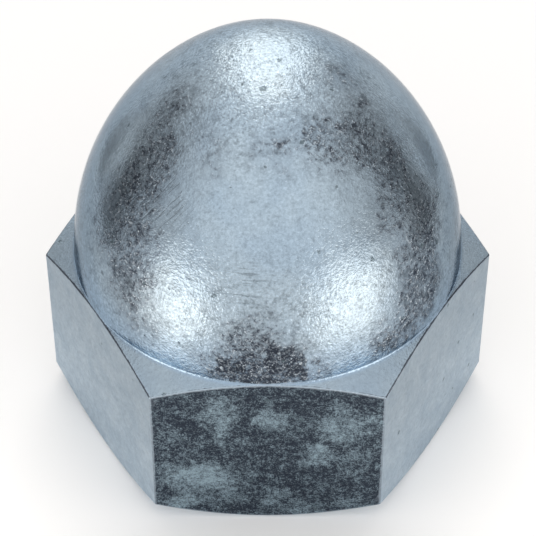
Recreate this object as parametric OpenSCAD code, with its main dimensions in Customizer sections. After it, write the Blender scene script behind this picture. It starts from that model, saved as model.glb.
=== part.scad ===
// Domed cap nut: a hexagon with a high ogive crown and a blind threaded bore.
// Millimetres. The origin is the middle of the bearing face, +Z runs up the
// thread's axis to the top of the dome, and +X points at a corner of the hexagon.

/* [Thread] */
// Nominal diameter of the thread
thread_d = 10; // [8:0.5:12]
// Pitch of the thread
thread_pitch = 1.5; // [0.75:0.25:2]
// How much wider than the thread the countersink at the mouth is
countersink_over = 0.8; // [0.2:0.1:2]
// Angle of the countersink, from side to side
countersink_angle = 120; // [60:5:150]
// Point angle of the drill that made the blind bore
drill_angle = 118; // [90:1:140]
// Wall left between the tip of the bore and the top of the dome
crown_wall = 2.2; // [1:0.1:4]

/* [Hexagon] */
// Width across the flats
across_flats = 16; // [14:0.1:20]
// Height from the bearing face to the foot of the dome
hex_h = 8.2; // [5:0.1:11]
// Slope of the chamfers at both ends of the hexagon, from the level
chamfer_angle = 30; // [15:1:45]
// How far the bearing face's edge lies inside the flats
bearing_inset = 0.2; // [0.05:0.05:1]

/* [Dome] */
// Overall height, from the bearing face to the top of the dome
total_h = 18.2; // [15:0.1:22]
// How far the dome's foot lies inside the flats
foot_inset = 0.03; // [0.01:0.01:1]
// Radius of the fillet between the upper chamfer and the foot of the dome
foot_fillet = 0.15; // [0.05:0.05:0.5]
// Radius of the dome's nose
nose_r = 5.94; // [3:0.02:6.5]

/* [Hidden] */
$fn = 128;

// How far a cutting outline runs on past what it cuts
cut = 1;

// Hexagon: half its width over the corners, and a radius that clears them
corner_r = across_flats / 2 / cos(30);
blank_r = corner_r + cut;
bearing_r = across_flats / 2 - bearing_inset;
chamfer_slope = tan(chamfer_angle);

// Foot of the dome: the fillet stands upright at the foot and ends tangent to
// the chamfer, which would meet the foot a little lower without it
foot_r = across_flats / 2 - foot_inset;
fillet_end_r = foot_r + foot_fillet * (1 - sin(chamfer_angle));
fillet_end_z = hex_h - foot_fillet * cos(chamfer_angle);
chamfer_top_z = fillet_end_z + (fillet_end_r - foot_r) * chamfer_slope;

// Two-arc dome: the side arc springs upright from the foot and is tangent to
// the nose arc, which is level at the top
dome_h = total_h - hex_h;
side_r = (foot_r * foot_r + dome_h * dome_h - 2 * dome_h * nose_r)
       / (foot_r - nose_r) / 2;
nose_z = total_h - nose_r;
blend_z = nose_z + nose_r * (nose_z - hex_h) / (side_r - nose_r);

// Bore: plain at the minor diameter of an ISO metric thread, which is cut 5/8
// as deep as the sharp V of its pitch
thread_depth = thread_pitch * cos(30) * 5 / 8;
bore_r = thread_d / 2 - thread_depth;
tip_h = bore_r / tan(drill_angle / 2);
bore_depth = total_h - crown_wall - tip_h;
countersink_r = (thread_d + countersink_over) / 2;
countersink_h = (countersink_r - bore_r) / tan(countersink_angle / 2);

// Everything right of the axis and above the level z
module above(z) {
    translate([0, z]) square([blank_r, total_h]);
}

// Half of the hexagon's outline: both chamfers run on to clear the corners, and
// the fillet is cut out of the upper one
module hexagon_outline() {
    difference() {
        polygon([
            [0, 0],
            [bearing_r, 0],
            [blank_r, (blank_r - bearing_r) * chamfer_slope],
            [blank_r, chamfer_top_z - (blank_r - foot_r) * chamfer_slope],
            [fillet_end_r, fillet_end_z],
            [foot_r + foot_fillet, hex_h],
            [0, hex_h]
        ]);
        translate([foot_r + foot_fillet, hex_h]) circle(r = foot_fillet);
    }
}

// Half of the dome's outline: the side arc up to blend_z and the nose arc on top
module dome_outline() {
    difference() {
        intersection() {
            translate([foot_r - side_r, hex_h]) circle(r = side_r);
            above(hex_h);
        }
        above(blend_z);
    }
    intersection() {
        translate([0, nose_z]) circle(r = nose_r);
        above(blend_z);
    }
}

// Turned from hexagonal bar: the chamfer cones scallop its six flats where they
// run out on them, and the dome stays inside the flats
module turned_bar() {
    intersection() {
        cylinder(h = total_h + cut, r = corner_r, $fn = 6);
        rotate_extrude() {
            hexagon_outline();
            dome_outline();
        }
    }
}

// Blind bore with its countersunk mouth and the drill's conical end
module bore() {
    rotate_extrude() polygon([
        [0, -cut],
        [countersink_r, -cut],
        [countersink_r, 0],
        [bore_r, countersink_h],
        [bore_r, bore_depth],
        [0, bore_depth + tip_h]
    ]);
}

// The nut, one solid
module cap_nut() {
    color([0.62, 0.68, 0.74]) difference() {
        turned_bar();
        bore();
    }
}

cap_nut();
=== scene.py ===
"""Looks of the M10 cap nut: its own mesh with the thread, its zinc finish, floor, lamps and camera.

Everything is in the frame of the CAD part: the origin is the middle of the bearing face, +Z runs
up the thread's axis, +X points at a corner of the hexagon, and the camera stands on the -Y side.
Lengths are written in millimetres and angles in degrees. They are turned into metres and radians
where a mesh, lamp or camera is made.
"""

import functools
import math

import bpy
import numpy as np
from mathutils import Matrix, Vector


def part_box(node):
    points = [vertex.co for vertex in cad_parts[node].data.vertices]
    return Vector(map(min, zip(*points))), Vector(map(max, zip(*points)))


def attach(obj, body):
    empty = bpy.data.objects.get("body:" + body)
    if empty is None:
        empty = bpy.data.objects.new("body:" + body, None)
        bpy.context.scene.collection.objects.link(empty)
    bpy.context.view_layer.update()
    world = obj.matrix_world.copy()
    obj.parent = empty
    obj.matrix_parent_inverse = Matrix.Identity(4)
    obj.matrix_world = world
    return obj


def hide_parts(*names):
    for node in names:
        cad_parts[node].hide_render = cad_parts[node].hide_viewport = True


MM = 0.001

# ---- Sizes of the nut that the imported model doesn't say, as in part.scad ----
THREAD_D = 10.0
THREAD_PITCH = 1.5
COUNTERSINK_R = 5.4
COUNTERSINK_ANGLE = 120.0
DRILL_ANGLE = 118.0
CROWN_WALL = 2.2
HEX_H = 8.2
CHAMFER_ANGLE = 30.0
BEARING_INSET = 0.2
FOOT_INSET = 0.03
FOOT_FILLET = 0.15
NOSE_R = 5.94

# ---- Roundings and the thread's run-out, which the CAD part leaves out ----
CORNER_ROUND = 0.09
EDGE_ROUND = 0.05
RIM_ROUND = 0.07
MOUTH_ROUND = 0.06
RUN_OUT = 0.3

# ---- The ISO thread's outline over one pitch ----
THREAD_BENDS = (0, 1 / 8, 7 / 16, 11 / 16, 1)  # where it bends, as shares of the pitch
THREAD_CUT = (1, 1, 0, 0, 1)  # how deep it is there, as shares of its depth
THREAD_ROWS = (2, 3, 4, 3)  # rows of the mesh from each bend to the next
THREAD_SHARE = 5 / 8  # of the height of the sharp triangle
THREAD_FLANK = 30

# ---- The hexagon's flats: how many, and the angle of one and of half of one ----
FLATS = 6
FLAT_ANGLE = 60
HALF_FLAT = 30

# ---- Columns of the mesh: how many on half a flat, and the gap beside a rounded corner ----
HALF_FLAT_COLUMNS = 19
COLUMN_GAP = 0.12

# ---- Rows of the mesh up a column of the outside, stretch by stretch, and in the drill's cone ----
MOUTH_STEPS = 4
FACE_STEPS = 6
RIM_STEPS = 4
CONE_STEPS = 5
EDGE_STEPS = 6
FLAT_STEPS = 13
SHOULDER_STEPS = 13
SIDE_STEPS = 42
NOSE_STEPS = 26
DRILL_ROWS = 7
FILLET_POINTS = 33

# ---- How close a flat's end rows stand to its roundings, and how the shoulder's rows crowd in ----
FLAT_SUPPORT = 0.03
SHOULDER_EASE = 2.2

# ---- Rows in the middle of the roundings: the bore's mouth, the rim, and a flat's two ends ----
MOUTH_ROW = MOUTH_STEPS // 2
RIM_ROW = MOUTH_STEPS + FACE_STEPS + RIM_STEPS // 2
LOW_ROW = RIM_ROW + RIM_STEPS // 2 + CONE_STEPS + EDGE_STEPS // 2
HIGH_ROW = LOW_ROW + EDGE_STEPS + FLAT_STEPS

# ---- Places and sizes in the bake map, as shares of its width. A flat's place is at its level ----
BELOW_CENTRE = (0.83, 0.17)
BELOW_REACH = 0.15
ABOVE_CENTRE = (0.333, 0.667)
ABOVE_REACH = 0.325
FLAT_PLACE = (0.75, 0.86)
FLAT_SPACING = (0.166, 0.15)
FLAT_WIDTH = 0.158
FLAT_LEVEL = 1.0
BORE_PLACE = (0.02, 0.02)
BORE_SIZE = (0.62, 0.24)
DRILL_V = 0.27
DRILL_SIZE = 0.04

# ---- Points in the same step are welded. The shift keeps round sizes off the steps' limits ----
STEPS_PER_MM = 1e4
STEP_SHIFT = 0.313

# ---- A distance too far to matter, the slack for rounding errors, and where shading is sharp ----
FAR = 2.0
SLACK = 1e-6
SHARP_ANGLE = 35


# ---------------------------------------------------------------- outline of the nut
class Outline:
    """The nut's outline, from its highest corner, as functions of the distance from the axis."""

    def __init__(self, high):
        self.apothem = high.y / MM
        self.total_h = high.z / MM
        lean = math.radians(CHAMFER_ANGLE)
        self.slope = math.tan(lean)
        self.bearing_r = self.apothem - BEARING_INSET
        self.foot_r = self.apothem - FOOT_INSET
        self.fillet_x = self.foot_r + FOOT_FILLET
        self.fillet_end_r = self.fillet_x - FOOT_FILLET * math.sin(lean)
        self.fillet_end_z = HEX_H - FOOT_FILLET * math.cos(lean)

        # Half of a flat's width, to the sharp corner and to where the rounding starts
        self.half_side = self.apothem * math.tan(math.radians(HALF_FLAT))
        self.straight = (self.apothem - CORNER_ROUND) * math.tan(math.radians(HALF_FLAT))

        # The dome's side arc starts upright at the foot and meets the nose arc without a kink
        dome_h = self.total_h - HEX_H
        across = self.foot_r - NOSE_R
        self.side_r = (self.foot_r**2 + dome_h**2 - 2 * dome_h * NOSE_R) / across / 2
        self.side_x = self.foot_r - self.side_r
        self.nose_z = self.total_h - NOSE_R
        self.blend = math.atan2(self.nose_z - HEX_H, -self.side_x)

    def lower(self, r):
        """Height of the lower chamfer at the distance r."""
        return (r - self.bearing_r) * self.slope

    def upper(self, r):
        """Height of the upper chamfer, or of the fillet inside it, at the distance r."""
        if r >= self.fillet_end_r:
            return self.fillet_end_z - (r - self.fillet_end_r) * self.slope
        return HEX_H - math.sqrt(FOOT_FILLET**2 - (self.fillet_x - r) ** 2)

    def shoulder(self, r):
        """Close points from the hexagon's side at r over the chamfer to the foot of the dome."""
        if r >= self.fillet_end_r:
            start = math.radians(270 - CHAMFER_ANGLE)
            chamfer = [(r, self.upper(r))]
        else:
            start = 2 * math.pi - math.acos((r - self.fillet_x) / FOOT_FILLET)
            chamfer = []
        turn = np.linspace(start, math.pi, FILLET_POINTS)
        x = self.fillet_x + FOOT_FILLET * np.cos(turn)
        z = HEX_H + FOOT_FILLET * np.sin(turn)
        return np.array(chamfer + list(zip(x, z)))

    def dome(self):
        """Points up the side arc and over the nose arc to the top."""
        side = np.linspace(0, self.blend, SIDE_STEPS + 1)
        nose = np.linspace(self.blend, math.pi / 2, NOSE_STEPS + 1)[1:]
        x = np.r_[self.side_x + self.side_r * np.cos(side), NOSE_R * np.cos(nose)]
        z = np.r_[HEX_H + self.side_r * np.sin(side), self.nose_z + NOSE_R * np.sin(nose)]
        x[-1] = 0
        return np.c_[x, z]

    def dome_radius(self, height):
        """Distance from the axis to the dome at a height."""
        if height > self.nose_z + NOSE_R * math.sin(self.blend):
            return math.sqrt(max(NOSE_R**2 - (height - self.nose_z) ** 2, 0))
        return self.side_x + math.sqrt(self.side_r**2 - (height - HEX_H) ** 2)

    def on_dome(self, azimuth, height):
        """A point of the dome, from its azimuth from the front and its height."""
        turn, out = math.radians(azimuth), self.dome_radius(height)
        return Vector((out * math.sin(turn), -out * math.cos(turn), height))


def line(a, b, steps):
    """Points from a to b, without a."""
    t = np.linspace(0, 1, steps + 1)[1:, None]
    return (1 - t) * np.array(a) + t * np.array(b)


def bend(before, corner, after, steps):
    """Points of a small rounding from before to after, without before."""
    t = np.linspace(0, 1, steps + 1)[1:, None]
    a, b, c = np.array(before), np.array(corner), np.array(after)
    return (1 - t) ** 2 * a + 2 * t * (1 - t) * b + t * t * c


def lengths(points):
    """Length along a row of points, at each of them."""
    return np.r_[0, np.cumsum(np.hypot(*np.diff(points, axis=0).T))]


def along(points, places):
    """Points at the given lengths along a row of close points."""
    run = lengths(points)
    return np.c_[np.interp(places, run, points[:, 0]), np.interp(places, run, points[:, 1])]


def column_angles(outline):
    """Angles of the mesh's columns, closer at the six rounded corners, once round."""
    arc = HALF_FLAT - math.degrees(math.atan(outline.straight / outline.apothem))
    half = np.linspace(arc + COLUMN_GAP, HALF_FLAT, HALF_FLAT_COLUMNS)
    other_half = (FLAT_ANGLE - half)[::-1][1:]
    flat = np.r_[0, arc / 2, arc, half, other_half, FLAT_ANGLE - arc, FLAT_ANGLE - arc / 2]
    return np.r_[np.concatenate([flat + FLAT_ANGLE * k for k in range(FLATS)]), 360.0]


def hexagon_radius(outline, angle):
    """Distance from the axis to the rounded hexagon at an angle."""
    from_corner = math.radians((angle + HALF_FLAT) % FLAT_ANGLE - HALF_FLAT)
    from_middle = math.radians(HALF_FLAT) - abs(from_corner)
    if math.tan(from_middle) * outline.apothem <= outline.straight + SLACK:
        return outline.apothem / math.cos(from_middle)
    centre = (outline.apothem - CORNER_ROUND) / math.cos(math.radians(HALF_FLAT))
    side = centre * math.sin(from_corner)
    return centre * math.cos(from_corner) + math.sqrt(CORNER_ROUND**2 - side**2)


def meridian(outline, rho):
    """A column of the outside, from the bore's mouth to the top, where the hexagon reaches rho."""
    lean = math.radians(CHAMFER_ANGLE)
    mouth_lean = math.radians(COUNTERSINK_ANGLE / 2)
    mouth_r = COUNTERSINK_R - MOUTH_ROUND * math.sin(mouth_lean)
    mouth = (mouth_r, MOUTH_ROUND * math.cos(mouth_lean))
    face_start = (COUNTERSINK_R + MOUTH_ROUND, 0)
    face_end = (outline.bearing_r - RIM_ROUND, 0)
    cone_r = outline.bearing_r + RIM_ROUND * math.cos(lean)
    cone_start = (cone_r, RIM_ROUND * math.sin(lean))

    low_z, up_z = outline.lower(rho), outline.upper(rho)
    cone_end = (rho - EDGE_ROUND * math.cos(lean), low_z - EDGE_ROUND * math.sin(lean))
    flat_start, flat_end = (rho, low_z + EDGE_ROUND), (rho, up_z - EDGE_ROUND)
    low_support = (rho, flat_start[1] + FLAT_SUPPORT)
    up_support = (rho, flat_end[1] - FLAT_SUPPORT)

    shoulder = outline.shoulder(rho)
    length = lengths(shoulder)[-1]
    crowding = (1 - np.linspace(0, 1, SHOULDER_STEPS + 1)) ** SHOULDER_EASE
    over = along(shoulder, length - (length - EDGE_ROUND) * crowding)
    return np.vstack([
        [mouth],
        bend(mouth, (COUNTERSINK_R, 0), face_start, MOUTH_STEPS),
        line(face_start, face_end, FACE_STEPS),
        bend(face_end, (outline.bearing_r, 0), cone_start, RIM_STEPS),
        line(cone_start, cone_end, CONE_STEPS),
        bend(cone_end, (rho, low_z), flat_start, EDGE_STEPS),
        [low_support],
        line(low_support, up_support, FLAT_STEPS - 2),
        [flat_end],
        bend(flat_end, (rho, up_z), over[0], EDGE_STEPS),
        over[1:],
        outline.dome()[1:],
    ])


# ---------------------------------------------------------------- sheets of the mesh
class Sheet:
    """A grid of points that becomes faces, with its place in the bake map and its marks."""

    def __init__(self, points, chart, marks, outward=True):
        self.points = points
        self.chart = chart
        self.marks = marks
        self.outward = outward


def stacked(*layers):
    """Coordinates stretched to one shape and put together."""
    return np.stack(np.broadcast_arrays(*layers), -1)


def columns(outline, angles):
    """The outside as a grid of points, and the length up its column at each point."""
    grid, runs = [], []
    for angle in angles:
        points = meridian(outline, hexagon_radius(outline, angle))
        turn = math.radians(angle)
        r, z = points.T
        grid.append(np.c_[r * math.cos(turn), r * math.sin(turn), z])
        runs.append(lengths(points))
    return np.array(grid).transpose(1, 0, 2), np.array(runs).T


def outside_marks(outline, angles, run):
    """Distance to the nearest edge and to a flat's upper edge, and which points are on a flat."""
    edge_rows = (MOUTH_ROW, RIM_ROW, LOW_ROW, HIGH_ROW)
    edge = np.min([abs(run - run[row]) for row in edge_rows], axis=0)
    flat = np.zeros(run.shape)
    flat[LOW_ROW + 1 : HIGH_ROW] = 1
    from_corner = np.abs((angles + HALF_FLAT) % FLAT_ANGLE - HALF_FLAT)
    to_corner = outline.half_side - outline.apothem * np.tan(np.radians(HALF_FLAT - from_corner))
    edge = np.where(flat > 0, np.minimum(edge, to_corner), edge)
    brow = np.minimum(abs(run - run[HIGH_ROW]), FAR)
    return {"edge_mm": edge, "brow_mm": brow, "flat": flat}


def round_chart(centre, reach, share, angles):
    """Bake map of a round sheet: seen along the axis, with its rows at their share of the reach."""
    turn = np.radians(angles)
    return centre + reach * share[:, :, None] * stacked(np.cos(turn), np.sin(turn))


def flat_chart(outline, number, angles, height):
    """Bake map of one flat, seen from its front. The flats stand in three rows of two."""
    scale = FLAT_WIDTH / (2 * outline.half_side)
    middle = FLAT_ANGLE * number + HALF_FLAT
    sideways = outline.apothem * np.tan(np.radians(angles - middle))
    u = FLAT_PLACE[0] + FLAT_SPACING[0] * (number % 2) + scale * sideways
    v = FLAT_PLACE[1] - FLAT_SPACING[1] * (number // 2) + scale * (height - FLAT_LEVEL)
    return stacked(u, v)


def outside(outline, angles):
    """The outside as sheets: bearing face and lower chamfer, shoulder and dome, six flats."""
    grid, run = columns(outline, angles)
    marks = outside_marks(outline, angles, run)

    def sheet(rows, cols, chart):
        return Sheet(grid[rows, cols], chart, {name: m[rows, cols] for name, m in marks.items()})

    every, below, above = slice(None), slice(LOW_ROW + 1), slice(HIGH_ROW, None)
    from_mouth = run[below] / run[LOW_ROW].max()
    from_top = (run[-1] - run[above]) / (run[-1] - run[HIGH_ROW]).max()
    sheets = [
        sheet(below, every, round_chart(BELOW_CENTRE, BELOW_REACH, from_mouth, angles)),
        sheet(above, every, round_chart(ABOVE_CENTRE, ABOVE_REACH, from_top, angles)),
    ]
    rows = slice(LOW_ROW, HIGH_ROW + 1)
    for number in range(FLATS):
        corner = FLAT_ANGLE * number
        cols = slice(*np.searchsorted(angles, (corner - SLACK, corner + FLAT_ANGLE + SLACK)))
        chart = flat_chart(outline, number, angles[cols], grid[rows, cols, 2])
        sheets.append(sheet(rows, cols, chart))
    return sheets


def thread_radius(height, turn, minor, end):
    """Distance from the axis to the ISO thread: flat roots and crests, 60 degree flanks."""
    phase = (height / THREAD_PITCH - turn) % 1.0
    cut = np.interp(phase, THREAD_BENDS, THREAD_CUT)
    fade = np.clip((end - height) / THREAD_PITCH, 0, 1)
    return minor + (THREAD_D / 2 - minor) * cut * fade


def bore_sheet(points, u, v):
    """A sheet of the bore, which faces the axis, far from the edges and flats."""
    far = np.full(points.shape[:2], FAR)
    marks = {"edge_mm": far, "brow_mm": far, "flat": 0 * far}
    return Sheet(points, stacked(u, v), marks, outward=False)


def bore(outline, angles):
    """The blind bore as sheets: countersink and right-hand thread, then the drill's cone."""
    minor = THREAD_D / 2 - THREAD_PITCH * math.cos(math.radians(THREAD_FLANK)) * THREAD_SHARE
    tip_z = outline.total_h - CROWN_WALL
    depth = tip_z - minor / math.tan(math.radians(DRILL_ANGLE / 2))
    spread = math.tan(math.radians(COUNTERSINK_ANGLE / 2))
    mouth_z = MOUTH_ROUND * math.cos(math.radians(COUNTERSINK_ANGLE / 2))
    turn = angles[None, :] / 360
    x, y = np.cos(2 * math.pi * turn), np.sin(2 * math.pi * turn)
    u = BORE_PLACE[0] + BORE_SIZE[0] * turn

    # Rows follow the helix, and are cut off at the mouth and at the bore's end
    stretches = zip(THREAD_BENDS, THREAD_BENDS[1:], THREAD_ROWS)
    stops = np.concatenate([np.linspace(a, b, rows, endpoint=False) for a, b, rows in stretches])
    steps = np.concatenate([stops + k for k in range(-1, int(depth / THREAD_PITCH) + 2)])
    height = np.clip(THREAD_PITCH * (steps[:, None] + turn), mouth_z, depth)
    radius = thread_radius(height, turn, minor, depth - RUN_OUT)
    radius = np.maximum(radius, COUNTERSINK_R - height * spread)
    v = BORE_PLACE[1] + BORE_SIZE[1] * height / depth
    thread = bore_sheet(stacked(radius * x, radius * y, height), u, v)

    share = np.linspace(1, 0, DRILL_ROWS)[:, None]
    cone = stacked(share * minor * x, share * minor * y, tip_z - share * (tip_z - depth))
    return [thread, bore_sheet(cone, u, DRILL_V + DRILL_SIZE * (1 - share))]


def quads_of(sheet, start):
    """The sheet's faces as numbers of points, counted from start."""
    rows, cols = sheet.points.shape[:2]
    ids = start + np.arange(rows * cols).reshape(rows, cols)
    quads = np.stack([ids[:-1, :-1], ids[:-1, 1:], ids[1:, 1:], ids[1:, :-1]], -1).reshape(-1, 4)
    return quads if sheet.outward else quads[:, ::-1]


def placed(name, data):
    """A new object in the scene."""
    piece = bpy.data.objects.new(name, data)
    bpy.context.collection.objects.link(piece)
    return piece


def join(sheets, name):
    """Joins the sheets into one closed mesh, with its bake map and marks."""
    points = np.concatenate([s.points.reshape(-1, 3) for s in sheets])
    charts = np.concatenate([s.chart.reshape(-1, 2) for s in sheets])
    steps = np.floor(points * STEPS_PER_MM + STEP_SHIFT).astype(np.int64)
    _, first, index = np.unique(steps, axis=0, return_index=True, return_inverse=True)
    index = index.ravel()

    faces, corners, start = [], [], 0
    for sheet in sheets:
        for quad in quads_of(sheet, start):
            kept = [c for i, c in enumerate(quad) if index[c] != index[quad[i - 1]]]
            if len(kept) > 2:
                faces.append([int(index[c]) for c in kept])
                corners.extend(kept)
        start += sheet.points.shape[0] * sheet.points.shape[1]

    mesh = bpy.data.meshes.new(name)
    mesh.from_pydata((points[first] * MM).tolist(), [], faces)
    mesh.uv_layers.new(name="OFBake").data.foreach_set("uv", charts[corners].ravel())
    for label in sheets[0].marks:
        values = np.concatenate([s.marks[label].ravel() for s in sheets])
        mesh.attributes.new(label, "FLOAT", "POINT").data.foreach_set("value", values[first])
    mesh.shade_smooth()
    mesh.set_sharp_from_angle(angle=math.radians(SHARP_ANGLE))
    mesh.validate()
    return placed(name, mesh)


# ---------------------------------------------------------------- material nodes
class Tree:
    """A short way to add shader nodes. Each call gives the new node's output."""

    def __init__(self, tree):
        self.tree = tree
        tree.nodes.clear()

    def add(self, kind, inputs=(), output=0, **settings):
        """A node of any kind. Its inputs are values, or outputs of other nodes."""
        node = self.tree.nodes.new(kind)
        for name, value in settings.items():
            setattr(node, name, value)
        for name, value in dict(inputs).items():
            if isinstance(value, bpy.types.NodeSocket):
                self.tree.links.new(value, node.inputs[name])
            else:
                node.inputs[name].default_value = value
        return node.outputs[output] if len(node.outputs) else node

    def place(self):
        """The place on the object, in mm."""
        return self.vector("MULTIPLY", self.add("ShaderNodeTexCoord", output=3), (1 / MM,) * 3)

    def mark(self, name):
        """One of the mesh's marks."""
        return self.add("ShaderNodeAttribute", output=2, attribute_name=name)

    def noise(self, place, scale, detail=2.0, rough=0.5, warp=0.0, output=0):
        """Noise from 0 to 1. Output 1 is a noise in each of three directions."""
        inputs = {"Vector": place, "Scale": scale, "Detail": detail}
        inputs |= {"Roughness": rough, "Distortion": warp}
        return self.add("ShaderNodeTexNoise", inputs, output)

    def centred(self, place, scale, detail=2.0, rough=0.5):
        """Noise that swings about zero."""
        return self.math("SUBTRACT", self.noise(place, scale, detail, rough), 0.5)

    def drifted(self, place, reach, rough=0.5):
        """The place moved about by noise, so that what is drawn there has ragged outlines."""
        drift = self.noise(place, scale=1.0, detail=5.0, rough=rough, output=1)
        drift = self.vector("SUBTRACT", drift, (0.5, 0.5, 0.5))
        inputs = {0: drift, 1: reach, 2: place}
        return self.add("ShaderNodeVectorMath", inputs, operation="MULTIPLY_ADD")

    def ramp(self, value, low, high, to_low=0.0, to_high=1.0):
        """A smooth step, from to_low where the value is low, to to_high where it is high."""
        inputs = {0: value, 1: low, 2: high, 3: to_low, 4: to_high}
        return self.add("ShaderNodeMapRange", inputs, interpolation_type="SMOOTHSTEP")

    def math(self, operation, a, b=0.0, c=0.0, use_clamp=False):
        """Arithmetic on two values, or on three for MULTIPLY_ADD."""
        inputs = {0: a, 1: b, 2: c} if operation == "MULTIPLY_ADD" else {0: a, 1: b}
        return self.add("ShaderNodeMath", inputs, operation=operation, use_clamp=use_clamp)

    def times(self, a, b):
        """The product of two values."""
        return self.math("MULTIPLY", a, b)

    def weigh(self, *terms, base=0.0):
        """The base plus the sum of values times their weights."""
        total = base
        for value, weight in terms:
            total = self.math("MULTIPLY_ADD", value, weight, total)
        return total

    def clamp(self, value):
        """The value, held between 0 and 1."""
        return self.math("ADD", value, 0.0, use_clamp=True)

    def fold(self, operation, values):
        """All the values made one by an operation such as MAXIMUM."""
        return functools.reduce(lambda a, b: self.math(operation, a, b), values)

    def vector(self, operation, a, b=(0, 0, 0), output=0):
        """Arithmetic on two vectors. Output 1 is for an operation that gives a value."""
        return self.add("ShaderNodeVectorMath", {0: a, 1: b}, output, operation=operation)

    def scaled(self, a, factor):
        """A vector or colour times a factor."""
        return self.add("ShaderNodeVectorMath", {0: a, "Scale": factor}, operation="SCALE")

    def axis(self, a, number):
        """One coordinate of a vector: 0 is x, 1 is y and 2 is z."""
        return self.add("ShaderNodeSeparateXYZ", {0: a}, number)

    def mix(self, share, a, b):
        """The colour between a and b at the share."""
        return self.add("ShaderNodeMix", {0: share, 6: a, 7: b}, 2, data_type="RGBA")

    def between(self, share, a, b):
        """The value between a and b at the share."""
        return self.add("ShaderNodeMix", {0: share, 2: a, 3: b})

    def bump(self, height, depth, strength, normal=None, invert=False):
        """A normal with the relief of the height, at a depth in mm."""
        inputs = {"Height": height, "Distance": depth * MM, "Strength": strength}
        if normal is not None:
            inputs["Normal"] = normal
        return self.add("ShaderNodeBump", inputs, invert=invert)


def new_material(name):
    """A new material and its tree of nodes."""
    material = bpy.data.materials.new(name)
    material.use_nodes = True
    return material, Tree(material.node_tree)


# ---------------------------------------------------------------- zinc
# Colours. A share says how much of its colour a scratch, a pit and so on takes on
PLATING = ((0.365, 0.460, 0.550, 1), (0.405, 0.495, 0.570, 1))
FLAT_PLATING = ((0.412, 0.490, 0.558, 1), (0.515, 0.584, 0.638, 1))
# A painted bluish reflection at the foot of the dome
PAINTED_FOOT_BLUE = (0.355, 0.475, 0.610, 1)
# The dark of the stains and painted dark reflections, then the painted glints in it
DARK_STAIN_AND_REFLECTION = (0.042, 0.051, 0.069, 1)
PAINTED_GLINTS = (0.50, 0.57, 0.63, 1)
# The front flat's painted dark reflection, its paler patches and its pale fibres
FRONT_DARK_REFLECTION = (0.036, 0.045, 0.062, 1)
FRONT_PALE = (0.31, 0.41, 0.47, 1)
FRONT_FIBRE = (0.40, 0.49, 0.55, 1)
FRONT_FIBRE_SHARE = 0.22
SCRATCH = (0.13, 0.16, 0.19, 1)
SCRATCH_SHARE = 0.42
PIT = (0.11, 0.15, 0.17, 1)
PIT_SHARE = 0.7
WORN = (0.48, 0.56, 0.64, 1)
WORN_SHARE = 0.5
# A painted dark reflection along the top edge of the flats
PAINTED_BROW_REFLECTION = (0.06, 0.07, 0.09, 1)
BROW_SHARE = 0.9
RIM_TINT = (0.52, 0.56, 0.60, 1)
CLEAN_ROUGHNESS = 0.098

# Where a stain or painted dark reflection, a pale patch, a worn edge and the painted brow line
# start and end their fading: in mm beyond the stain's reach, in shares of the patch's half sizes,
# and in mm from the edge
STAIN_AND_REFLECTION_FADE = (0.75, -0.65)
PATCH_FADE = (1.3, 0.2)
WORN_FADE = (0.09, 0.02)
BROW_FADE = (0.060, 0.030)

# Dark patches on the dome, each along a short line: azimuth from the front and height at its two
# ends, then its reach and its depth. Those within 80 degrees of the front are painted dark
# reflections, and those at the back, past 130 degrees, are stains. The drift is how far noise moves
# them about in x, y and z
STAINS_AND_DARK_REFLECTIONS = (
    (-70, 16.8, -60, 15.6, 0.55, 0.85),
    (-57, 15.6, -53, 14.4, 1.0, 1.0),
    (-54, 13.8, -52, 12.7, 1.3, 1.0),
    (-52, 12.7, -47, 11.5, 1.15, 1.0),
    (-47, 11.2, -41, 10.0, 0.7, 0.6),
    (-67, 13.4, -65, 11.6, 0.6, 0.35),
    (80, 17.4, 68, 16.9, 0.5, 0.7),
    (-40, 16.6, -28, 16.3, 0.5, 0.35),
    (34, 16.7, 49, 16.4, 0.85, 0.9),
    (51, 16.4, 58, 15.3, 0.9, 1.0),
    (56, 15.3, 57, 14.3, 0.7, 1.0),
    (47, 14.3, 45, 13.8, 0.55, 0.6),
    (61, 13.3, 61, 12.2, 0.85, 1.0),
    (55, 12.0, 51, 10.2, 1.15, 1.15),
    (49, 9.8, 38, 9.0, 1.0, 1.0),
    (71, 12.8, 69, 11.2, 0.5, 0.2),
    (-4, 16.8, 30, 16.5, 0.40, 0.50),
    (-7, 8.6, 3, 9.4, 1.15, 1.9),
    (-15, 8.4, 12, 8.6, 0.95, 0.55),
    (-10, 9.5, -3, 10.3, 0.9, 1.15),
    (-8, 10.4, -2, 11.0, 0.6, 0.5),
    (149, 9.4, 153, 11.8, 0.75, 0.8),
    (154, 12.4, 161, 14.0, 0.55, 0.6),
    (-142, 15.6, -131, 14.6, 0.6, 0.55),
    (-163, 9.3, -149, 9.0, 0.8, 0.7),
    (-152, 10.4, -149, 11.2, 0.4, 0.45),
)
STAIN_AND_REFLECTION_DRIFT = (2.3, 2.3, 2.3)

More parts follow.
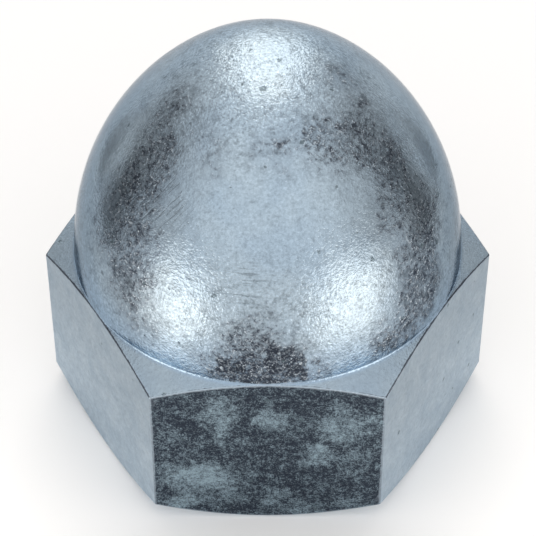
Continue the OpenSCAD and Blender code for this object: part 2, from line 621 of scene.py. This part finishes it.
# Paler patches in the front flat's painted dark reflection: x, height, half width, half height,
# depth. They drift as well
PALE_PATCHES = (
    (-2.9, 2.6, 1.6, 1.1, 1.35),
    (-3.4, 1.3, 1.0, 0.8, 0.9),
    (-1.8, 6.2, 0.5, 1.3, 0.8),
    (0.1, 6.3, 0.5, 1.2, 0.8),
    (3.2, 5.6, 1.5, 1.0, 0.9),
    (1.9, 3.9, 0.7, 0.8, 0.9),
    (3.4, 3.6, 0.8, 1.0, 0.6),
    (0.3, 1.4, 0.8, 0.6, 0.8),
    (1.6, 0.7, 1.2, 0.5, 0.6),
    (-2.4, 6.5, 1.4, 0.6, 0.5),
    (-1.3, 1.6, 0.7, 0.8, 0.6),
    (3.6, 1.0, 0.9, 0.6, 0.6),
)
PATCH_DRIFT = (3.2, 0.0, 2.4)

# Clusters of scratches on the dome: azimuth, height, reach, and directions along and across them.
# The grid is how often the noise that draws them changes, to the mm along and across
SCRATCH_GRID = (0.9, 10.0)
SCRATCHES = (
    (-6, 12.7, 1.15, (1, 0, 0.1), (0, 0, 1)),
    (-41, 14.5, 1.5, (0.58, 0, 0.82), (-0.58, 0.71, 0.41)),
)

# Larger pits in the dome: azimuth from the front, height and radius
PITS = (
    (-6, 17.92, 0.15),
    (-89, 18.04, 0.08),
    (49, 18.17, 0.08),
    (-110, 18.16, 0.06),
    (61, 17.5, 0.09),
    (-32, 17.92, 0.05),
)

# Height at which the dome's grain is calmest
CALM_H = 14.5


class Ground:
    """What the layers of the zinc share: the place, the parts of the nut, and noises."""

    def __init__(self, tree, outline):
        place = tree.place()
        self.place = place
        self.height = tree.axis(place, 2)
        self.aside = tree.math("ABSOLUTE", tree.axis(place, 0))
        self.edge = tree.mark("edge_mm")
        self.brow = tree.mark("brow_mm")
        self.flat = tree.mark("flat")
        front_y = -outline.apothem
        self.front = tree.ramp(tree.axis(place, 1), front_y + 0.05, front_y + 0.02)
        self.domed = tree.ramp(self.height, HEX_H - 0.1, HEX_H + 0.1)
        from_calm = tree.math("ABSOLUTE", tree.math("SUBTRACT", self.height, CALM_H))
        lively = tree.ramp(from_calm, 1.0, 2.8, to_low=0.5, to_high=1.0)
        self.lively = tree.times(self.domed, lively)

        self.cloud = tree.noise(place, scale=0.35, detail=3.0)
        self.patch = tree.centred(place, scale=1.3, detail=4.0, rough=0.6)
        self.mottle = tree.centred(place, scale=4.6, detail=3.0, rough=0.65)
        self.speckle = tree.centred(place, scale=9.0, detail=2.0, rough=0.7)
        self.fine = tree.centred(place, scale=15.0, detail=2.0, rough=0.6)
        # Flecks for the painted glints in the dark patches
        self.glint_flecks = tree.noise(place, scale=9.0, detail=2.0, rough=0.6, warp=0.6)
        self.glint_flecks = tree.ramp(self.glint_flecks, 0.53, 0.63)

        # Thin lines where a noise crosses zero, broken up by another
        curl = tree.math("ABSOLUTE", tree.centred(place, scale=4.4, detail=2.0, rough=0.55))
        gaps = tree.ramp(self.speckle, -0.07, 0.05)
        self.fibre = tree.times(tree.ramp(curl, 0.036, 0.006), gaps)


def clean_plating(tree, ground):
    """Clean plating: greyer and more uneven on the flats, with a painted bluish reflection at the
    foot of the dome.
    """
    dome = tree.mix(tree.ramp(ground.cloud, 0.35, 0.65), *PLATING)
    uneven = tree.clamp(tree.weigh((ground.mottle, 1.2), (ground.patch, 2.2), base=0.55))
    clean = tree.mix(ground.flat, dome, tree.mix(uneven, *FLAT_PLATING))
    # A painted bluish reflection low on the dome, above the shoulder
    over_shoulder = tree.ramp(ground.height, HEX_H - 0.18, HEX_H - 0.08)
    painted_blue_near_foot = tree.ramp(ground.height, HEX_H + 2.2, HEX_H, to_high=0.8)
    return tree.mix(tree.times(over_shoulder, painted_blue_near_foot), clean, PAINTED_FOOT_BLUE)


def stain_and_reflection_mask(tree, ground, outline):
    """Where the dome is stained or holds a painted dark reflection, from 0 to 1, and the distance
    from the nearest of these.
    """
    shifted = tree.drifted(ground.place, STAIN_AND_REFLECTION_DRIFT, rough=0.6)
    spots, gaps = [], []
    # Each line is a stain or a painted dark reflection
    for turn_a, height_a, turn_b, height_b, reach, depth in STAINS_AND_DARK_REFLECTIONS:
        start = outline.on_dome(turn_a, height_a)
        run = outline.on_dome(turn_b, height_b) - start
        offset = tree.vector("SUBTRACT", shifted, tuple(start))
        share = tree.vector("DOT_PRODUCT", offset, tuple(run / run.length_squared), 1)
        nearest = tree.scaled(tuple(run), tree.clamp(share))
        gap = tree.math("SUBTRACT", tree.vector("DISTANCE", offset, nearest, 1), reach)
        spots.append(tree.ramp(gap, *STAIN_AND_REFLECTION_FADE, to_high=depth))
        gaps.append(gap)
    on_dome = tree.ramp(ground.height, HEX_H - 0.04, HEX_H + 0.04)
    return tree.times(tree.fold("MAXIMUM", spots), on_dome), tree.fold("MINIMUM", gaps)


def painted_shading(tree, ground, colour, away):
    """The plating with painted shade and painted reflections: darker round the stains and painted
    dark reflections and towards the rims, and paler low on the hexagon.
    """
    # Painted shade round the dark patches, away from the dome's middle
    painted_halo = tree.times(tree.ramp(away, 2.2, 0.0), tree.ramp(ground.aside, 1.5, 3.5))
    # Painted reflection: the dome lighter in its middle, darker towards its rims
    dome = tree.ramp(ground.aside, 1.0, 7.0, to_low=1.04, to_high=0.87)
    dome = tree.weigh((painted_halo, -0.15), base=dome)
    # Painted reflection: the hexagon paler low down, darker near its top
    hexagon = tree.ramp(ground.height, 7.5, 0.3, to_low=0.90, to_high=1.16)
    return tree.scaled(colour, tree.between(ground.domed, hexagon, dome))


def broken_stains_and_reflections(tree, ground, mask):
    """The stains and painted dark reflections broken up into specks, from 0 to 1."""
    broken = tree.weigh((ground.speckle, 2.4), (ground.mottle, 3.0), (ground.patch, 1.8))
    loose = tree.ramp(mask, 0.0, 0.4)
    return tree.clamp(tree.weigh((mask, 0.64), (broken, loose)))


def stain_and_reflection_colour(tree, ground):
    """The dark colour of the stains and painted dark reflections, with painted glints as pale
    fibres and flecks in it.
    """
    glints = tree.weigh((ground.fibre, 0.70), (ground.glint_flecks, 0.27))
    return tree.mix(glints, DARK_STAIN_AND_REFLECTION, PAINTED_GLINTS)


def painted_dark_front(tree, ground):
    """The front flat's painted dark reflection, with its paler patches and fibres."""
    shifted = tree.drifted(ground.place, PATCH_DRIFT)
    spots = []
    for x, height, half_width, half_height, depth in PALE_PATCHES:
        offset = tree.vector("SUBTRACT", shifted, (x, 0, height))
        offset = tree.vector("MULTIPLY", offset, (1 / half_width, 0, 1 / half_height))
        away = tree.vector("LENGTH", offset, output=1)
        spots.append(tree.ramp(away, *PATCH_FADE, to_high=depth))
    terms = [(tree.fold("MAXIMUM", spots), 0.60), (ground.patch, 1.2), (ground.mottle, 1.6)]
    terms += [(ground.speckle, 0.9), (ground.fine, 2.0)]
    colour = tree.mix(tree.clamp(tree.weigh(*terms, base=0.08)), FRONT_DARK_REFLECTION, FRONT_PALE)
    return tree.mix(tree.times(ground.fibre, FRONT_FIBRE_SHARE), colour, FRONT_FIBRE)


def scratch_mask(tree, ground, outline):
    """Short scratches, side by side in each cluster, from 0 to 1."""
    clusters = []
    for azimuth, height, reach, lengthways, crossways in SCRATCHES:
        length = tree.vector("DOT_PRODUCT", ground.place, lengthways, 1)
        width = tree.vector("DOT_PRODUCT", ground.place, crossways, 1)
        stretched = {0: tree.times(length, SCRATCH_GRID[0]), 1: tree.times(width, SCRATCH_GRID[1])}
        grid = tree.add("ShaderNodeCombineXYZ", stretched)
        lines = tree.noise(grid, scale=1.0, detail=1.0, rough=0.5, warp=0.4)
        away = tree.vector("DISTANCE", ground.place, tuple(outline.on_dome(azimuth, height)), 1)
        close = tree.ramp(away, reach, reach * 0.4)
        clusters.append(tree.times(tree.ramp(lines, 0.59, 0.64), close))
    return tree.fold("MAXIMUM", clusters)


def pit_mask(tree, ground, outline):
    """Small round pits in a few cells of the surface, and the dome's larger ones, from 0 to 1."""
    cells = {"Vector": ground.place, "Scale": 1.5}
    away = tree.add("ShaderNodeTexVoronoi", cells)
    colour = tree.add("ShaderNodeTexVoronoi", cells, 1)
    chosen = tree.ramp(tree.add("ShaderNodeSeparateColor", {0: colour}), 0.72, 1.0)
    pits = [tree.ramp(tree.weigh((ground.speckle, 0.25), (chosen, -0.16), base=away), 0.02, -0.04)]
    for azimuth, height, radius in PITS:
        away = tree.vector("DISTANCE", ground.place, tuple(outline.on_dome(azimuth, height)), 1)
        away = tree.weigh((ground.speckle, 0.15), base=away)
        pits.append(tree.ramp(away, radius, radius * 0.6))
    return tree.fold("MAXIMUM", pits)


def grain(tree, ground):
    """The plating's fine grain, as a factor about 1."""
    coarse = tree.weigh((ground.lively, 1.10), base=0.27)
    dulled = tree.noise(ground.place, scale=2.4, detail=5.0, rough=0.72)
    dulled = tree.times(tree.ramp(dulled, 0.50, 0.62), ground.lively)
    return tree.weigh((ground.mottle, 0.30), (ground.speckle, coarse), (dulled, -0.26), base=1.0)


def edges(tree, ground, colour):
    """Bare bright edges, and a painted dark reflection as a ragged line along the top of all flats
    but the front one.
    """
    worn = tree.ramp(tree.weigh((ground.patch, 0.16), base=ground.edge), *WORN_FADE)
    colour = tree.mix(tree.times(worn, WORN_SHARE), colour, WORN)
    # A painted dark reflection along the flats' top edges
    ragged = tree.weigh((ground.mottle, 0.10), (ground.patch, 0.10), base=ground.brow)
    painted_brow_line = tree.ramp(ragged, *BROW_FADE)
    painted_brow_line = tree.times(painted_brow_line, tree.math("SUBTRACT", 1.0, ground.front))
    return tree.mix(tree.times(painted_brow_line, BROW_SHARE), colour, PAINTED_BROW_REFLECTION)


def relief(tree, ground, stains_and_reflections, sunk):
    """The plating's fine relief, smoother towards the dome's rims, with sunk scratches and pits."""
    smooth = tree.times(ground.domed, tree.ramp(ground.aside, 4.0, 6.3))
    strength = tree.weigh((smooth, -0.7), (ground.lively, 0.25), (stains_and_reflections, 0.45), base=0.75)
    normal = tree.bump(ground.speckle, depth=0.027, strength=strength)
    normal = tree.bump(ground.mottle, depth=0.022, strength=strength, normal=normal)
    normal = tree.bump(ground.patch, depth=0.022, strength=1.0, normal=normal)
    return tree.bump(sunk, depth=0.020, strength=1.0, normal=normal, invert=True)


def zinc(outline):
    """Blue zinc plating: satin, finely grained, stained dark in places, bright at worn edges.
    Its colour holds painted dark reflections, painted shade and painted glints as well.
    """
    material, tree = new_material("zinc_plating")
    ground = Ground(tree, outline)
    mask, away = stain_and_reflection_mask(tree, ground, outline)
    # Stains, and painted dark reflections at the dome's sides and front foot
    stains_and_reflections = broken_stains_and_reflections(tree, ground, mask)
    scratched = scratch_mask(tree, ground, outline)
    pitted = pit_mask(tree, ground, outline)

    # Painted shade and painted reflections over the clean plating
    colour = painted_shading(tree, ground, clean_plating(tree, ground), away)
    # The dark of stains and painted dark reflections, with painted glints
    colour = tree.mix(stains_and_reflections, colour, stain_and_reflection_colour(tree, ground))
    # The front flat: a painted dark reflection, with paler patches
    colour = tree.mix(tree.times(ground.flat, ground.front), colour, painted_dark_front(tree, ground))
    colour = tree.mix(tree.times(scratched, SCRATCH_SHARE), colour, SCRATCH)
    colour = tree.mix(tree.times(pitted, PIT_SHARE), colour, PIT)
    colour = tree.scaled(colour, grain(tree, ground))
    colour = edges(tree, ground, colour)

    terms = ((ground.patch, 0.12), (stains_and_reflections, 0.14), (ground.flat, 0.30))
    rough = tree.weigh(*terms, base=CLEAN_ROUGHNESS)
    sunk = tree.math("MAXIMUM", scratched, pitted)
    surface = tree.add("ShaderNodeBsdfPrincipled", {
        "Base Color": colour,
        "Metallic": 1.0,
        "Specular Tint": RIM_TINT,
        "Roughness": rough,
        "Normal": relief(tree, ground, stains_and_reflections, sunk),
    })
    tree.add("ShaderNodeOutputMaterial", {"Surface": surface})
    return material


# ---------------------------------------------------------------- stage, lamps and camera
# The floor: radii of its level rings, then the reach, rise and rings of the cove around them
FLOOR_RINGS = (50, 200, 400)
COVE_REACH = 400
COVE_RISE = 90
COVE_RINGS = 8
FLOOR_SPOKES = 72
FLOOR_COLOURS = ((0.92, 0.92, 0.93, 1), (0.94, 0.94, 0.94, 1))
MATT_ROUGHNESS = 0.9

# The surround: its strength behind and in front, the share left at both sides, and how far up
# from level its brightest point is
WORLD_DIM = 0.76
WORLD_BRIGHT = 1.06
WORLD_BESIDE = 0.80
WORLD_LEAN = 20

# Lamps: azimuth from the front, distance, height, height aimed at, width, height, radiance
LAMP_COLOUR = (1.0, 0.91, 0.81)
LAMPS = {
    "rear_top": (180, 410, 463, 14, 400, 815, 1.42),
    "front_left": (-45, 24, 6.0, 9, 11.6, 11.4, 1.74),
    "front_right": (42, 24, 6.8, 9, 14.0, 12.8, 1.40),
}

# Cards, one at each side: distance to the side and to the back, y faced, width, height, shade
CARDS = {
    "dark_card": (39.6, 5.5, -3, 30, 56, 0.28),
    "grey_card": (32.6, 22.6, -1, 24, 27, 0.50),
}
CARD_LIFT = 0.1

CAMERA_SENSOR = 36.0
CAMERA_LENS = 149.42
CAMERA_CLIP = (5, 10000)
CAMERA_AIM = (0.0147, 0, 6.59)
CAMERA_DISTANCE = 93.10
CAMERA_ELEVATION = 44.97


def matt(tree, colour):
    """A matt shader in a colour."""
    return tree.add("ShaderNodeBsdfPrincipled", {"Base Color": colour, "Roughness": MATT_ROUGHNESS})


def floor():
    """A plain pale floor under the nut that curves up into a low backdrop all round."""
    cove = [k / COVE_RINGS for k in range(1, COVE_RINGS + 1)]
    rings = [(r, 0) for r in FLOOR_RINGS]
    rings += [(FLOOR_RINGS[-1] + COVE_REACH * t, COVE_RISE * t * t) for t in cove]
    turns = [2 * math.pi * k / FLOOR_SPOKES for k in range(FLOOR_SPOKES)]
    points = [Vector((r * math.cos(t), r * math.sin(t), z)) * MM for r, z in rings for t in turns]
    points.append((0, 0, 0))
    faces = [(len(points) - 1, k, (k + 1) % FLOOR_SPOKES) for k in range(FLOOR_SPOKES)]
    for ring in range(len(rings) - 1):
        for k in range(FLOOR_SPOKES):
            a = ring * FLOOR_SPOKES + k
            b = ring * FLOOR_SPOKES + (k + 1) % FLOOR_SPOKES
            faces.append((a, a + FLOOR_SPOKES, b + FLOOR_SPOKES, b))
    mesh = bpy.data.meshes.new("floor")
    mesh.from_pydata(points, [], faces)
    mesh.shade_smooth()

    material, tree = new_material("pale_floor")
    cloud = tree.noise(tree.place(), scale=0.006)
    surface = matt(tree, tree.mix(cloud, *FLOOR_COLOURS))
    tree.add("ShaderNodeOutputMaterial", {"Surface": surface})
    mesh.materials.append(material)
    placed("floor", mesh)


def world_light():
    """A pale surround: brightest in front, dimmer behind, and dimmer still at both sides."""
    world = bpy.data.worlds.new("studio")
    world.use_nodes = True
    bpy.context.scene.world = world
    tree = Tree(world.node_tree)
    direction = tree.add("ShaderNodeTexCoord")
    lean = math.radians(WORLD_LEAN)
    facing = tree.vector("DOT_PRODUCT", direction, (0, -math.cos(lean), math.sin(lean)), 1)
    strength = tree.ramp(facing, -0.5, 1.0, WORLD_DIM, WORLD_BRIGHT)
    aside = tree.math("ABSOLUTE", tree.axis(direction, 0))
    strength = tree.times(strength, tree.ramp(aside, 0.60, 0.95, 1.0, WORLD_BESIDE))
    light = tree.add("ShaderNodeBackground", {"Color": (1, 1, 1, 1), "Strength": strength})
    tree.add("ShaderNodeOutputWorld", {"Surface": light})


def soft_lamp(name, azimuth, distance, height, aim_z, width, tall, radiance):
    """An area lamp that faces the nut, out of the camera's sight."""
    data = bpy.data.lights.new(name, "AREA")
    data.shape = "RECTANGLE"
    data.size, data.size_y = width * MM, tall * MM
    data.color = LAMP_COLOUR
    data.energy = radiance * math.pi * data.size * data.size_y
    lamp = placed(name, data)
    turn = math.radians(azimuth)
    lamp.location = Vector((distance * math.sin(turn), -distance * math.cos(turn), height)) * MM
    toward = Vector((0, 0, aim_z * MM)) - lamp.location
    lamp.rotation_euler = toward.to_track_quat("-Z", "Y").to_euler()
    lamp.visible_camera = False


def card(name, x, y, aim_y, width, tall, shade):
    """An upright card that shows in the metal alone, and fades out to its sides and upwards."""
    middle = Vector((x, y, 0))
    sideways = Vector((aim_y - y, x, 0)).normalized()
    left, right = middle - sideways * width / 2, middle + sideways * width / 2
    low, high = Vector((0, 0, CARD_LIFT)), Vector((0, 0, tall))
    corners = [corner * MM for corner in (left + low, right + low, right + high, left + high)]
    mesh = bpy.data.meshes.new(name)
    mesh.from_pydata(corners, [], [(0, 1, 2, 3)])

    material, tree = new_material(name)
    place = tree.place()
    offset = tree.vector("SUBTRACT", place, tuple(middle))
    from_middle = tree.math("ABSOLUTE", tree.vector("DOT_PRODUCT", offset, tuple(sideways), 1))
    fade_up = tree.ramp(tree.axis(place, 2), tall, tall / 4)
    solid = tree.times(tree.ramp(from_middle, width / 2, 0.0), fade_up)
    surface = matt(tree, (shade, shade, shade, 1))
    clear = tree.add("ShaderNodeBsdfTransparent")
    surface = tree.add("ShaderNodeMixShader", {0: solid, 1: clear, 2: surface})
    tree.add("ShaderNodeOutputMaterial", {"Surface": surface})
    mesh.materials.append(material)

    piece = placed(name, mesh)
    piece.visible_camera = False
    piece.visible_shadow = False
    piece.visible_diffuse = False


def camera():
    """The photograph's view: from the front, 45 degrees up."""
    data = bpy.data.cameras.new("camera")
    data.sensor_width, data.lens = CAMERA_SENSOR, CAMERA_LENS
    data.clip_start, data.clip_end = (limit * MM for limit in CAMERA_CLIP)
    piece = placed("camera", data)
    elevation = math.radians(CAMERA_ELEVATION)
    back = Vector((0, -math.cos(elevation), math.sin(elevation)))
    piece.location = Vector(CAMERA_AIM) * MM + back * CAMERA_DISTANCE * MM
    piece.rotation_euler = (-back).to_track_quat("-Z", "Y").to_euler()
    bpy.context.scene.camera = piece


# ---------------------------------------------------------------- the scene
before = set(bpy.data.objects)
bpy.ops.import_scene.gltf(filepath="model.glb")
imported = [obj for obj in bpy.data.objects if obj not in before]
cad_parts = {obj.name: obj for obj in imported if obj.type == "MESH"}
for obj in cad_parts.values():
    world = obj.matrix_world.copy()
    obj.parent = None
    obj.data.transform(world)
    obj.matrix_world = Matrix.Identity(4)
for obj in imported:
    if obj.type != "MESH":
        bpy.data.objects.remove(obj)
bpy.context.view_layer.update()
outline = Outline(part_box("cap_nut")[1])
angles = column_angles(outline)
nut = join(outside(outline, angles) + bore(outline, angles), "nut")
nut.data.materials.append(zinc(outline))
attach(nut, "root")
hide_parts("cap_nut")

floor()
world_light()
for name, sizes in LAMPS.items():
    soft_lamp(name, *sizes)
for name, (aside, behind, *sizes) in CARDS.items():
    card(name + "_left", -aside, behind, *sizes)
    card(name + "_right", aside, behind, *sizes)
camera()
bpy.context.scene.view_settings.view_transform = "Standard"
